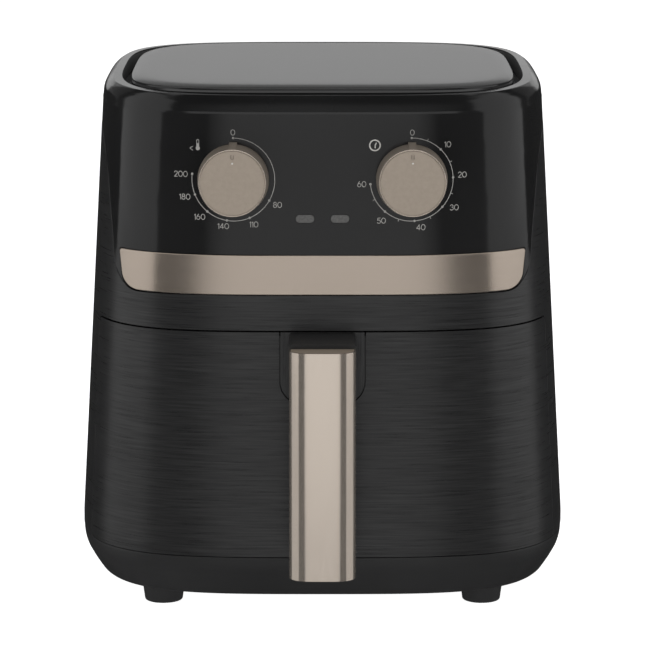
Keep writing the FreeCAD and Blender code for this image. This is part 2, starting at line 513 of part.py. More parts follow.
ca = body(WALL + 1.0, 39, 166).common(box(-220, 220, -117.0, PAN_Y0 - 0.02, 41.2, 163.2))
for x, z in CS:
    ca = ca.cut(cyl(1.85, (x, -130, z), (0, 1, 0), 40))
PS = [(sx * 60.0, z) for sx in (-1, 1) for z in (70.0, 130.0)]
for x, z in PS:
    ca = ca.cut(cyl(2.05, (x, -116.3, z), (0, 1, 0), 10))
put("drawer_carrier", ca)
csc = None
for x, z in CS:
    s = fuse(cyl(3.5, (x, PAN_Y0 + 0.05, z), (0, 1, 0), 2.4), cyl(1.7, (x, -122.5, z), (0, 1, 0), 122.5 + PAN_Y0 + 0.1))
    csc = s if csc is None else csc.fuse(s)
put("carrier_screws", csc)

pn = plan(PAN_X, PAN_Y0, PAN_Y1, 26, 26, PAN_Z0, PAN_Z1)
pn = pn.fuse(plan(PAN_X + 4, PAN_Y0 - 4, PAN_Y1 + 4, 30, 30, PAN_Z1 - 2.0, PAN_Z1).cut(box(-200, 200, -200, PAN_Y0 + 0.02, 100, 200)))
pn = pn.cut(plan(PAN_X - PAN_T, PAN_Y0 + PAN_T, PAN_Y1 - PAN_T, 24.8, 24.8, PAN_Z0 + PAN_T, PAN_Z1 + 5))
for x, z in PS:
    pn = pn.cut(cyl(2.1, (x, -120, z), (0, 1, 0), 20))
pn = pn.removeSplitter()
put("pan", pn)
psc = None
for x, z in PS:
    s = fuse(cyl(4.0, (x, PAN_Y0 + PAN_T + 0.05, z), (0, 1, 0), 1.8), cyl(2.0, (x, -116.2, z), (0, 1, 0), 116.2 + PAN_Y0 + PAN_T + 0.1))
    psc = s if psc is None else psc.fuse(s)
put("pan_screws", psc)

# crisper plate
CZ = 52.0
cp = plan(97.5, -107.0, 93.0, 22, 22, CZ, CZ + 1.6)
cp = cp.fuse(cyl(15.0, (0, FAN_Y, CZ), (0, 0, 1), 8.0)).cut(cyl(13.4, (0, FAN_Y, CZ - 1), (0, 0, 1), 12))
holes = []
for i in range(-4, 5):
    for j in range(-4, 5):
        if (abs(i) == 4 and abs(j) == 4) or (i * i + j * j) < 2:
            continue
        holes.append(cyl(4.5, (i * 20.5, FAN_Y + j * 20.8, CZ - 1), (0, 0, 1), 4))
cp = cp.cut(Part.makeCompound(holes)).removeSplitter()
put("crisper_plate", cp)
bump = None
for sx in (-1, 1):
    for y in (-58.0, 44.0):
        b_ = box(min(sx * 95.0, sx * 100.8), max(sx * 95.0, sx * 100.8), y - 6, y + 6, 46.2, 57.0)
        b_ = b_.cut(box(-97.55, 97.55, -107, 93, CZ - 0.02, CZ + 1.62))
        bump = b_ if bump is None else bump.fuse(b_)
put("plate_bumpers", bump)

# ---------------------------------------------------------------- handle
yf = lambda z: -(B(z) + HANDLE_OUT)
HB_T, HC_T = 21.0, 14.0
ZA_TOP, ZA_BOT, ARM_HALF = 165.5, 149.0, 18.6
off = lambda z, d: yf(z) + d
hb = prism_yz([(-B(ZA_TOP) - 0.1, ZA_TOP), (off(ZA_TOP, HC_T + 0.05), ZA_TOP), (off(42.5, HC_T + 0.05), 42.5), (off(42.5, HB_T), 42.5),
               (off(ZA_BOT, HB_T), ZA_BOT), (-B(ZA_BOT) - 0.1, ZA_BOT)], [0, 0, 0, 5, 12, 0], -17.6, 17.6)
fe = [e for e in hb.Edges if abs(abs(e.CenterOfMass.x) - 17.6) < 1e-3 and e.CenterOfMass.z < 163.9 and e.CenterOfMass.y > off(e.CenterOfMass.z, HC_T + 2.0)
      and e.CenterOfMass.y < -160]
try:
    hb2 = hb.makeFillet(3.0, fe)
    if hb2.isValid() and hb2.Volume > 0:
        hb = hb2
except Exception as ex:
    print("grip fillet left plain:", ex)
arm = prism_yz([(-B(ZA_TOP) - 0.1, ZA_TOP), (off(ZA_TOP, HC_T + 0.05), ZA_TOP), (off(ZA_BOT, HC_T + 0.05), ZA_BOT), (-B(ZA_BOT) - 0.1, ZA_BOT)],
               [0, 0, 0, 0], -ARM_HALF, ARM_HALF)
te = [e for e in arm.Edges if abs(e.CenterOfMass.z - ZA_TOP) < 1e-3 and abs(abs(e.CenterOfMass.x) - ARM_HALF) < 1e-3]
arm = arm.makeFillet(1.8, te)
hb = hb.common(box(-60, 60, -300, 0, 0, ZA_TOP - 0.5)).fuse(arm).removeSplitter()
for x, z in HS:
    hb = hb.cut(cyl(2.1, (x, -165.0, z), (0, 1, 0), 40))
put("handle_body", hb)
hs = None
for x, z in HS:
    yb = -B(z) + 5.3
    s = fuse(cyl(4.6, (x, yb, z), (0, 1, 0), 2.6), cyl(2.0, (x, -164.0, z), (0, 1, 0), 164.0 + yb + 0.1))
    hs = s if hs is None else hs.fuse(s)
put("handle_screws", hs)

# cover: flat centre, flanks rounding back to the sides, swept parallel to the leaning front, square ends with rounded edges
w_, t_ = HANDLE_HALF, HC_T
half = [(w_, 9.3), (18.05, 8.13), (17.7, 6.95), (17.2, 5.8), (16.6, 4.77), (15.8, 3.71), (14.8, 2.68), (13.8, 1.89), (12.8, 1.28), (11.5, 0.75),
        (10.5, 0.49), (9.5, 0.32), (8.0, 0.17), (5.0, 0.03), (0.0, 0.0)]
zc0, zc1 = 20.0, 180.0
P3 = lambda x, d: V(x, yf(zc0) + d, zc0)
crv = Part.BSplineCurve()
crv.interpolate([P3(x, d) for x, d in half] + [P3(-x, d) for x, d in reversed(half[:-1])])
wire = Part.Wire([crv.toShape(), Part.LineSegment(P3(-w_, 9.3), P3(-w_, t_)).toShape(),
                  Part.LineSegment(P3(-w_, t_), P3(w_, t_)).toShape(), Part.LineSegment(P3(w_, t_), P3(w_, 9.3)).toShape()])
hc = Part.Face(wire).extrude(V(0, yf(zc1) - yf(zc0), zc1 - zc0))
hc = hc.common(box(-40, 40, -260, -100, HANDLE_Z0, HANDLE_Z1))
rim_e = [e for e in hc.Edges if (abs(e.CenterOfMass.z - HANDLE_Z1) < 1e-3 or abs(e.CenterOfMass.z - HANDLE_Z0) < 1e-3) and e.CenterOfMass.y < off(e.CenterOfMass.z, 9.6)]
try:
    hc2 = hc.makeFillet(1.0, rim_e)
    if hc2.isValid() and hc2.Volume > 0.9 * hc.Volume:
        hc = hc2
except Exception as ex:
    print("cover fillet left plain:", ex)
put("handle_cover", hc)

# ---------------------------------------------------------------- export
bb = None
for name, s in NODES.items():
    s = s.copy()
    s.translate(V(0, Y_SHIFT, 0))
    b = s.BoundBox
    bb = b if bb is None else bb.united(b)
    print("%-22s solids %d valid %s vol %9.1f" % (name, len(s.Solids), s.isValid(), s.Volume))
    s.exportStep("parts/%s.step" % name)
print("nodes", len(NODES))
print("box x %.2f %.2f  y %.2f %.2f  z %.2f %.2f" % (bb.XMin, bb.XMax, bb.YMin, bb.YMax, bb.ZMin, bb.ZMax))
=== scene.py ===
import bpy, bmesh, json, math
import numpy as np
from mathutils import Vector, Matrix
from mathutils.geometry import delaunay_2d_cdt


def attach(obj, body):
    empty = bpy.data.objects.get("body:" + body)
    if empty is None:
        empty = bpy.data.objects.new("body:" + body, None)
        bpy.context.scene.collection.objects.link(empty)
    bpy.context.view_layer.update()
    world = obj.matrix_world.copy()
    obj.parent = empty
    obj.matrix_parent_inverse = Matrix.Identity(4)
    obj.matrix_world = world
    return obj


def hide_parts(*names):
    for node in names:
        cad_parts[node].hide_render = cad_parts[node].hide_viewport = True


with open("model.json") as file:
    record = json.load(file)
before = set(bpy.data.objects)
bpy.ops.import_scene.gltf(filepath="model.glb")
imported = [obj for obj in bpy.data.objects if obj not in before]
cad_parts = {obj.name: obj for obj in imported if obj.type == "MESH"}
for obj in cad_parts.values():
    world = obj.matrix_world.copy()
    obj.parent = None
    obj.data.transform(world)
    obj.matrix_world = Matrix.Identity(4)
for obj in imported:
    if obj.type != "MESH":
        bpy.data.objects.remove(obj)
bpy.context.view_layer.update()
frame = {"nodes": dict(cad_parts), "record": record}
nodes = frame["nodes"]
scene = bpy.context.scene

# ---------------------------------------------------------------- the body's own geometry (mm), as built
Z_LOW, Z_HIGH = 36.3, 288.35
A_LOW, A_HIGH = 141.5, 127.4
B_LOW, B_HIGH = 153.35, 140.9
YS = 25.13
K1, K2 = 0.6, 0.7704
STEP = 0.12
TILT = math.atan((B_LOW - B_HIGH) / (Z_HIGH - Z_LOW))


def A(z):
    return A_LOW + (A_HIGH - A_LOW) * (z - Z_LOW) / (Z_HIGH - Z_LOW)


def B(z):
    return B_LOW + (B_HIGH - B_LOW) * (z - Z_LOW) / (Z_HIGH - Z_LOW)


# unit section: quintic quadrants, sampled from the front centre round to the back centre (right half)
def _quad(n):
    t = np.linspace(0, 1, n)
    bern = [math.comb(5, i) * t ** i * (1 - t) ** (5 - i) for i in range(6)]
    px = [0, K1, K2, 1, 1, 1]
    py = [1, 1, 1, K2, K1, 0]
    return sum(b * p for b, p in zip(bern, px)), sum(b * p for b, p in zip(bern, py))


_qx, _qy = _quad(600)
UX = np.concatenate([_qx, _qx[::-1][1:]])          # front centre -> right -> back centre
UY = np.concatenate([-_qy, _qy[::-1][1:]])
_am, _bm = A(150), B(150)
_ds = np.hypot(np.diff(UX) * _am, np.diff(UY) * _bm)
US = np.concatenate([[0], np.cumsum(_ds)])         # arc length on the middle section
HALF_LEN = US[-1]


def unit(s):
    """unit section point at signed arc length s from the front centre (negative to the left)"""
    s = np.asarray(s, float)
    a = np.abs(s)
    return np.sign(s + 1e-12) * np.interp(a, US, UX), np.interp(a, US, UY)


def s_of_x(x, z, back=False):
    """arc length where the front (or back) half crosses x"""
    u = np.abs(x) / A(z)
    h = len(_qx)
    v = np.interp(u, UX[:h], US[:h]) if not back else np.interp(u, UX[h - 1:][::-1], US[h - 1:][::-1])
    return np.sign(x) * v


def s_of_y(y, z):
    """arc length on the right side where the section is at depth y"""
    return np.interp(np.asarray(y) / B(z), UY, US)


def surf(s, z, o=0.0, tuck=0.0):
    x, y = unit(s)
    z = np.asarray(z, float)
    return np.stack([(A(z) - o - tuck) * x, (B(z) - o - tuck) * y + YS, z + 0 * x], -1)


def surf_n(s, z, o=0.0):
    e = 0.05
    ds = surf(np.asarray(s) + e, z, o) - surf(np.asarray(s) - e, z, o)
    dz = surf(s, np.asarray(z) + e, o) - surf(s, np.asarray(z) - e, o)
    n = np.cross(ds, dz)
    return n / np.linalg.norm(n, axis=-1, keepdims=True)


def front_y(x, z, o=STEP):
    """depth of the front panel's surface at x, z"""
    p = surf(s_of_x(np.asarray(x, float), np.asarray(z, float)), z, o)
    return p[..., 1]


# ---------------------------------------------------------------- materials
def new_mat(name):
    m = bpy.data.materials.new(name)
    m.use_nodes = True
    nt = m.node_tree
    b = nt.nodes["Principled BSDF"]
    return m, nt, b


def link(nt, a, b):
    nt.links.new(a, b)


def noise(nt, scale_vec, scale=1.0, detail=3.0, rough=0.55, loc=(0, 0, 0)):
    tc = nt.nodes.new("ShaderNodeTexCoord")
    mp = nt.nodes.new("ShaderNodeMapping")
    mp.inputs["Scale"].default_value = scale_vec
    mp.inputs["Location"].default_value = loc
    nz = nt.nodes.new("ShaderNodeTexNoise")
    nz.inputs["Scale"].default_value = scale
    nz.inputs["Detail"].default_value = detail
    nz.inputs["Roughness"].default_value = rough
    link(nt, tc.outputs["Object"], mp.inputs["Vector"])
    link(nt, mp.outputs["Vector"], nz.inputs["Vector"])
    return nz.outputs["Fac"]


def ramp(nt, fac, stops):
    r = nt.nodes.new("ShaderNodeValToRGB")
    r.color_ramp.elements[0].position = stops[0][0]
    r.color_ramp.elements[0].color = (*stops[0][1], 1)
    r.color_ramp.elements[1].position = stops[-1][0]
    r.color_ramp.elements[1].color = (*stops[-1][1], 1)
    for p, c in stops[1:-1]:
        e = r.color_ramp.elements.new(p)
        e.color = (*c, 1)
    link(nt, fac, r.inputs["Fac"])
    return r.outputs["Color"]


def mrange(nt, fac, lo, hi, f0=0.3, f1=0.7):
    m = nt.nodes.new("ShaderNodeMapRange")
    m.inputs["From Min"].default_value = f0
    m.inputs["From Max"].default_value = f1
    m.inputs["To Min"].default_value = lo
    m.inputs["To Max"].default_value = hi
    link(nt, fac, m.inputs["Value"])
    return m.outputs["Result"]


def bump(nt, b, height, strength, distance):
    n = nt.nodes.new("ShaderNodeBump")
    n.inputs["Strength"].default_value = strength
    n.inputs["Distance"].default_value = distance
    link(nt, height, n.inputs["Height"])
    link(nt, n.outputs["Normal"], b.inputs["Normal"])


def g(v):
    return (v, v, v * 1.02)


def mat_brushed_black(name, fine_vec, wide_vec, strength):
    m, nt, b = new_mat(name)
    fine = noise(nt, fine_vec, 1.0, 4.0, 0.6)
    wide = noise(nt, wide_vec, 1.0, 3.0, 0.55, (3, 1, 7))
    mix = nt.nodes.new("ShaderNodeMath"); mix.operation = "MULTIPLY_ADD"
    mix.inputs[1].default_value = 0.72
    link(nt, fine, mix.inputs[0])
    sc = nt.nodes.new("ShaderNodeMath"); sc.operation = "MULTIPLY"; sc.inputs[1].default_value = 0.28
    link(nt, wide, sc.inputs[0])
    link(nt, sc.outputs[0], mix.inputs[2])
    f = mix.outputs[0]
    link(nt, ramp(nt, f, [(0.36, g(0.0118)), (0.5, g(0.0150)), (0.64, g(0.0182))]), b.inputs["Base Color"])
    link(nt, mrange(nt, f, 0.27, 0.35, 0.38, 0.62), b.inputs["Roughness"])
    bump(nt, b, f, strength, 0.0003)
    link(nt, mrange(nt, f, 0.43, 0.77, 0.36, 0.64), b.inputs["Specular IOR Level"])
    return m


def mat_gloss_black(name, lo, hi, r0, r1):
    m, nt, b = new_mat(name)
    f = noise(nt, (1, 1, 1), 900.0, 2.0)
    cl = noise(nt, (1, 1, 1), 14.0, 3.0, 0.5, (2, 5, 1))
    link(nt, ramp(nt, cl, [(0.3, g(lo)), (0.7, g(hi))]), b.inputs["Base Color"])
    link(nt, mrange(nt, cl, r0, r1), b.inputs["Roughness"])
    bump(nt, b, f, 0.012, 0.0001)
    b.inputs["Specular IOR Level"].default_value = 0.42
    return m


def mat_matte(name, lo, hi, r0, r1, grain=1400.0, strength=0.12, spec=0.4):
    m, nt, b = new_mat(name)
    f = noise(nt, (1, 1, 1), grain, 3.0, 0.6)
    big = noise(nt, (1, 1, 1), 20.0, 3.0, 0.5, (4, 2, 9))
    link(nt, ramp(nt, big, [(0.3, lo), (0.7, hi)]), b.inputs["Base Color"])
    link(nt, mrange(nt, f, r0, r1), b.inputs["Roughness"])
    bump(nt, b, f, strength, 0.0002)
    b.inputs["Specular IOR Level"].default_value = spec
    return m


def mat_champagne(name, vec, lo, hi, r0, r1, strength, metallic):
    m, nt, b = new_mat(name)
    f = noise(nt, vec, 1.0, 4.0, 0.6)
    link(nt, ramp(nt, f, [(0.35, lo), (0.65, hi)]), b.inputs["Base Color"])
    link(nt, mrange(nt, f, r0, r1), b.inputs["Roughness"])
    bump(nt, b, f, strength, 0.0001)
    b.inputs["Metallic"].default_value = metallic
    return m


def mat_metal(name, lo, hi, r0, r1, vec=(200, 200, 200), strength=0.06, metallic=1.0):
    m, nt, b = new_mat(name)
    f = noise(nt, vec, 1.0, 4.0, 0.6)
    link(nt, ramp(nt, f, [(0.3, lo), (0.7, hi)]), b.inputs["Base Color"])
    link(nt, mrange(nt, f, r0, r1), b.inputs["Roughness"])
    bump(nt, b, f, strength, 0.0002)
    b.inputs["Metallic"].default_value = metallic
    return m


M = {}
M["brushed"] = mat_brushed_black("satin_brushed_black", (34, 34, 1300), (24, 24, 700), 0.03)
M["brushed_v"] = mat_brushed_black("satin_upright_brushed_black", (1150, 1150, 26), (480, 480, 20), 0.10)
M["gloss"] = mat_gloss_black("gloss_black", 0.0095, 0.0115, 0.10, 0.15)
M["gloss_rim"] = mat_gloss_black("gloss_rim_black", 0.0105, 0.0125, 0.13, 0.17)
M["lid"] = mat_matte("lid_satin_black", g(0.020), g(0.024), 0.18, 0.23, 1600, 0.02, 0.5)
M["base"] = mat_matte("base_matte_black", g(0.016), g(0.020), 0.42, 0.52, 1300, 0.10, 0.4)
M["arm"] = mat_matte("handle_matte_black", g(0.020), g(0.026), 0.40, 0.50, 1300, 0.08, 0.4)
# the vent grille's grey is much lighter than the part's own tone: painted light that lifts the shade deep in the gap
# beside the lid
M["vent"] = mat_matte("vent_grey_painted_light", g(0.20), g(0.26), 0.5, 0.62, 900, 0.10, 0.4)
# the gap liner's light grey is painted light, lifting the shade in the gap beside the lid
M["gap"] = mat_matte("gap_grey_painted_light", g(0.10), g(0.15), 0.5, 0.62, 700, 0.10, 0.4)
M["champ_top"] = mat_champagne("champagne_end", (420, 420, 420), (0.345, 0.285, 0.225), (0.375, 0.31, 0.245), 0.40, 0.48, 0.02, 0.2)
M["champ_h"] = mat_champagne("champagne_satin", (40, 40, 500), (0.585, 0.498, 0.42), (0.615, 0.524, 0.444), 0.22, 0.26, 0.005, 0.92)
M["champ_v"] = mat_champagne("champagne_handle", (400, 400, 60), (0.795, 0.695, 0.60), (0.825, 0.722, 0.625), 0.15, 0.19, 0.0018, 0.92)
M["champ_k"] = mat_champagne("champagne_knob", (420, 420, 420), (0.385, 0.325, 0.266), (0.415, 0.35, 0.288), 0.28, 0.34, 0.006, 0.47)
M["champ_e"] = mat_champagne("champagne_edge", (420, 420, 420), (0.78, 0.685, 0.59), (0.82, 0.72, 0.62), 0.18, 0.22, 0.01, 0.95)
# dark champagne for the slot bars: painted shade of the slot recess
M["champ_d"] = mat_champagne("champagne_slot_painted_shade", (420, 420, 420), (0.20, 0.17, 0.14), (0.24, 0.205, 0.17), 0.4, 0.5, 0.03, 0.3)
M["print"] = mat_matte("dial_print", (0.37, 0.362, 0.345), (0.43, 0.42, 0.40), 0.45, 0.6, 1500, 0.03, 0.4)
M["sign"] = mat_matte("sign_print", (0.60, 0.585, 0.555), (0.66, 0.645, 0.615), 0.45, 0.6, 1500, 0.03, 0.4)
M["lamp"] = mat_matte("lamp_grey", (0.085, 0.085, 0.083), (0.105, 0.104, 0.10), 0.22, 0.32, 900, 0.03, 0.5)
M["rubber"] = mat_matte("rubber_black", g(0.022), g(0.030), 0.55, 0.7, 1800, 0.2, 0.35)
M["silicone"] = mat_matte("silicone_dark", g(0.03), g(0.045), 0.5, 0.65, 1500, 0.12, 0.4)
M["steel"] = mat_metal("steel_plain", (0.42, 0.42, 0.43), (0.55, 0.55, 0.56), 0.28, 0.42)
M["chamber"] = mat_metal("chamber_sheet", (0.50, 0.50, 0.51), (0.62, 0.62, 0.63), 0.26, 0.40, (30, 30, 600))
M["nonstick"] = mat_matte("nonstick_dark", g(0.016), g(0.028), 0.30, 0.46, 2600, 0.18, 0.5)
M["electric"] = mat_matte("electric_pale", (0.56, 0.53, 0.47), (0.66, 0.63, 0.57), 0.42, 0.55, 1200, 0.06, 0.4)
M["board"] = mat_matte("board_green", (0.02, 0.09, 0.035), (0.03, 0.12, 0.05), 0.35, 0.5, 900, 0.05, 0.5)

by_slot = {"satin_black": "brushed", "gloss_black": "gloss", "lid_black": "lid", "base_black": "base", "champagne_metal": "champ_h",
           "lamp_grey": "lamp", "rubber_black": "rubber", "silicone": "silicone", "steel": "steel", "chamber_metal": "chamber",
           "nonstick": "nonstick", "electric_white": "electric", "board_green": "board"}
slot_of = {s["node"]: s["material_slot"] for s in frame["record"]["subparts"]}


def give(o, mat):
    o.data.materials.clear()
    o.data.materials.append(mat)


# the vent grille takes the lightened grey, which is painted light in the gap
special = {"handle_cover": "champ_v", "temperature_knob": "champ_k", "temperature_knob_cap": "champ_k", "timer_knob": "champ_k",
           "timer_knob_cap": "champ_k", "handle_body": "arm", "handle_escutcheon": "brushed_v", "vent_grille": "vent"}
for n, o in nodes.items():
    give(o, M[special.get(n) or by_slot[slot_of[n]]])


# ---------------------------------------------------------------- mesh helpers
def mesh_obj(name, verts_mm, faces, mat, body, replaces=None, normals=None, smooth=True):
    me = bpy.data.meshes.new(name)
    me.from_pydata([tuple(float(c) * 0.001 for c in v) for v in verts_mm], [], [tuple(int(i) for i in f) for f in faces])
    me.validate()
    me.update()
    if smooth:
        me.polygons.foreach_set("use_smooth", [True] * len(me.polygons))
    o = bpy.data.objects.new(name, me)
    scene.collection.objects.link(o)
    o.data.materials.append(mat)
    if normals is not None:
        me.normals_split_custom_set_from_vertices([tuple(float(c) for c in n) for n in normals])
    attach(o, body)
    if replaces:
        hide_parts(*([replaces] if isinstance(replaces, str) else replaces))
    return o


# ---------------------------------------------------------------- lofted and banded pieces
def quad_unit(k1, k2, n):
    """unit squircle, n points per quarter, anticlockwise from +X"""
    t = np.linspace(0, 1, n + 1)[:-1]
    bern = [math.comb(5, i) * t ** i * (1 - t) ** (5 - i) for i in range(6)]
    x = sum(b * p for b, p in zip(bern, [1, 1, 1, k2, k1, 0]))
    y = sum(b * p for b, p in zip(bern, [0, k1, k2, 1, 1, 1]))
    q = [np.stack([x, y], -1)]
    for _ in range(3):
        q.append(np.stack([-q[-1][:, 1], q[-1][:, 0]], -1))
    return np.concatenate(q)


def smooth_path(p, per):
    """Catmull-Rom points along a list of points"""
    p = np.asarray(p, float)
    e = np.vstack([2 * p[0] - p[1], p, 2 * p[-1] - p[-2]])
    out = []
    for i in range(1, len(e) - 2):
        for t in np.linspace(0, 1, per + 1)[:-1]:
            a, b, c, d = e[i - 1], e[i], e[i + 1], e[i + 2]
            out.append(0.5 * (2 * b + (c - a) * t + (2 * a - 5 * b + 4 * c - d) * t * t + (3 * b - a - 3 * c + d) * t ** 3))
    out.append(p[-1])
    return np.array(out)


def rings_mesh(rings, cap_first, cap_last):
    """closed rings of equal length joined by quads, with a fan at each end (or the ends joined to each other)"""
    n = len(rings[0])
    v = [tuple(p) for r in rings for p in r]
    f = []
    m = len(rings)
    for i in range(m - 1 if cap_first else m):
        a, b = i * n, ((i + 1) % m) * n
        for j in range(n):
            k = (j + 1) % n
            f.append((a + j, a + k, b + k, b + j))
    if cap_first:
        c = len(v); v.append(tuple(np.mean(rings[0], 0)))
        f += [(c, (j + 1) % n, j) for j in range(n)]
    if cap_last:
        c = len(v); v.append(tuple(np.mean(rings[-1], 0)))
        a = (m - 1) * n
        f += [(c, a + j, a + (j + 1) % n) for j in range(n)]
    return v, f


def loft_rings(path, k1, k2, n=72):
    u = quad_unit(k1, k2, n)
    return [np.stack([a * u[:, 0], b * u[:, 1] + YS, np.full(len(u), z)], -1) for a, b, z in path]


def fix_normals(o, flat_angle=None):
    bm = bmesh.new(); bm.from_mesh(o.data)
    bmesh.ops.recalc_face_normals(bm, faces=bm.faces)
    bm.to_mesh(o.data); bm.free()
    if flat_angle:
        o.data.set_sharp_from_angle(angle=math.radians(flat_angle))


# lid: soft crown falling to a rounded edge, a narrow ledge and the side wall below it
LA, LB = 112.7, 123.2
lp = [(15.0, 300.5), (9.9, 300.36), (6.9, 300.09), (4.8, 299.74), (3.3, 299.34), (2.4, 298.98), (2.05, 298.6), (1.95, 298.2)]
lid_path = [(LA - 60, LB - 60, 300.5), (LA - 25, LB - 25, 300.5)]
lid_path += [(LA - d, LB - d, z) for d, z in smooth_path(lp, 6)]
lid_path += [(LA - d, LB - d, z) for d, z in [(1.92, 297.8), (1.84, 297.7), (0.24, 296.98), (0.14, 296.86), (0.15, 296.4), (0.6, 292), (1.4, 284.1)]]
lid_rings = loft_rings(lid_path, 0.768, 0.7386)
for k_ in range(len(lid_path) - 5, len(lid_path)):             # the ledge runs out towards the sides
    r_ = np.array(lid_rings[k_], float)
    q_ = np.clip((r_[:, 1] - YS + 114.0) / 26.0, 0, 1)
    q_ = 1 - q_ * q_ * (3 - 2 * q_) * 0.0125
    r_[:, 0] *= q_
    r_[:, 1] = (r_[:, 1] - YS) * q_ + YS
    lid_rings[k_] = r_
v, f = rings_mesh(lid_rings, True, True)
lid = mesh_obj("lid", v, f, M["lid"], "housing", "top_cover")
fix_normals(lid, 40)

# rim round the lid: narrow edge facet, bevel and the crest that falls to the front, as a smooth skin on the upper shell
def crest_z(y):
    c = smooth_path([(-150, 296.45), (-134, 296.5), (-115, 297.0), (-80, 298.1), (-40, 298.7), (0, 298.9)], 12)
    return np.interp(y, c[:, 0], c[:, 1])


SKIN = 0.08
rs = [(127.15, 140.49, 288.0), (126.6, 137.8, 292.6), (125.35, 136.15, 295.2), (123.5, 134.9, 297.2), (119.9, 133.4, 299.6)]
rim_path = [(A(286.9) - STEP - 0.5, B(286.9) - STEP - 0.5, 286.9), (A(287.0) - STEP, B(287.0) - STEP, 287.0)]
rim_path += [(A(287.0) - STEP + (127.15 - A(287.0) + STEP) * q, B(287.0) - STEP + (140.49 - B(287.0) + STEP) * q, 287.0 + q) for q in (0.06, 0.5, 0.94)]
rim_path += [tuple(q) for q in smooth_path(rs, 20)]
rim_path += [(119.9 + (116.5 - 119.9) * q, 133.4 + (130.2 - 133.4) * q, 310.0) for q in (0.15, 0.3, 0.5, 0.7, 0.85, 0.94, 0.98)]
ru = quad_unit(K1, K2, 90)
rim_rings = []
for k_, (a_, b_, z_) in enumerate(rim_path):
    e_ = SKIN if k_ else 0.0
    y_ = (b_ + e_) * ru[:, 1]
    q_ = np.clip((-y_ - 70.0) / 35.0, 0, 1)
    c_ = crest_z(y_) + SKIN + 0.40 * q_ * q_ * (3 - 2 * q_) * (1 - np.clip((135.3 - b_) / 5.1, 0, 1))     # in front the crest falls inwards
    zz = z_ - 0.1 * np.logaddexp(0, (z_ - c_) / 0.1)           # soft meeting of bevel and crest
    rim_rings.append(np.stack([(a_ + e_) * ru[:, 0], y_ + YS, zz], -1))
for d_ in (0.12, 0.5, 3.0, 8.0):
    y_ = 130.15 * ru[:, 1]
    rim_rings.append(np.stack([116.45 * ru[:, 0], y_ + YS, crest_z(y_) + SKIN - d_], -1))
v, f = rings_mesh(rim_rings, False, False)
rim = mesh_obj("rim_skin", v, f, M["gloss_rim"], "housing")
fix_normals(rim, 50)

# matte grey liner on the inner face of the rim, in the gap beside the lid: its light grey is painted light that lifts
# the shade in the gap
lin = []
for a_, b_, d_ in ((116.38, 130.08, 0.6), (116.38, 130.08, 3.0), (116.38, 130.08, 9.0), (116.44, 130.14, 9.0), (116.44, 130.14, 0.6)):
    lin.append(np.stack([a_ * ru[:, 0], b_ * ru[:, 1] + YS, crest_z(b_ * ru[:, 1]) - d_], -1))
v, f = rings_mesh(lin, False, False)
fix_normals(mesh_obj("rim_liner_painted_light", v, f, M["gap"], "housing"), 50)

# base: lip, chamfer and rounded bottom edge outside, a thin tub inside
bp = [(140.5, 38.0), (140.75, 37.7), (140.85, 36.4), (140.5, 32.8), (139.4, 29.0), (137.4, 25.0), (135.1, 20.9), (132.7, 17.1), (131.2, 15.1), (129.0, 13.8),
      (124.0, 13.05), (115.0, 12.6)]
base_path = [(a, a + 11.85, z) for a, z in smooth_path(bp, 6)]
inner = [(104.0, 15.4), (121.0, 15.4), (127.8, 16.6), (130.2, 18.4), (135.0, 25.8), (137.0, 29.6), (137.9, 33.0), (137.6, 38.0)]
v1 = loft_rings(base_path, K1, K2)
v0 = loft_rings([(a, a + 11.85, z) for a, z in inner], K1, K2)
v, f = rings_mesh(v0 + v1, True, True)
base = mesh_obj("base_tub", v, f, M["base"], "housing", "base")
fix_normals(base, 35)


# trim band: outline in x, z with rounded corners; the rim rolls over to the front
def rounded_outline(pts, radii, step):
    out = []
    n = len(pts)
    for i in range(n):
        p, a, b, r = np.array(pts[i], float), np.array(pts[i - 1], float), np.array(pts[(i + 1) % n], float), radii[i]
        ua, ub = (a - p) / np.linalg.norm(a - p), (b - p) / np.linalg.norm(b - p)
        half = math.acos(np.clip(ua @ ub, -1, 1)) / 2
        t = r / math.tan(half)
        bis = (ua + ub) / np.linalg.norm(ua + ub)
        c = p + bis * r / math.sin(half)
        v0, v1 = p + ua * t - c, p + ub * t - c
        a0, a1 = math.atan2(v0[1], v0[0]), math.atan2(v1[1], v1[0])
        d = (a1 - a0 + math.pi) % (2 * math.pi) - math.pi
        k = max(4, int(abs(d) * r / (step * 0.5)))
        out += [c + r * np.array([math.cos(a0 + d * q), math.sin(a0 + d * q)]) for q in np.linspace(0, 1, k + 1)]
        nb = np.array(pts[(i + 1) % n], float)
        na = np.array(pts[(i + 2) % n], float)
        u2a, u2b = (p - nb) / np.linalg.norm(p - nb), (na - nb) / np.linalg.norm(na - nb)
        t2 = radii[(i + 1) % n] / math.tan(math.acos(np.clip(u2a @ u2b, -1, 1)) / 2)
        e = nb + u2a * t2
        q0 = out[-1]
        L = np.linalg.norm(e - q0)
        m = int(L / step)
        out += [q0 + (e - q0) * q for q in np.linspace(0, 1, m + 1)[1:-1]] if m > 1 else []
    return np.array(out)


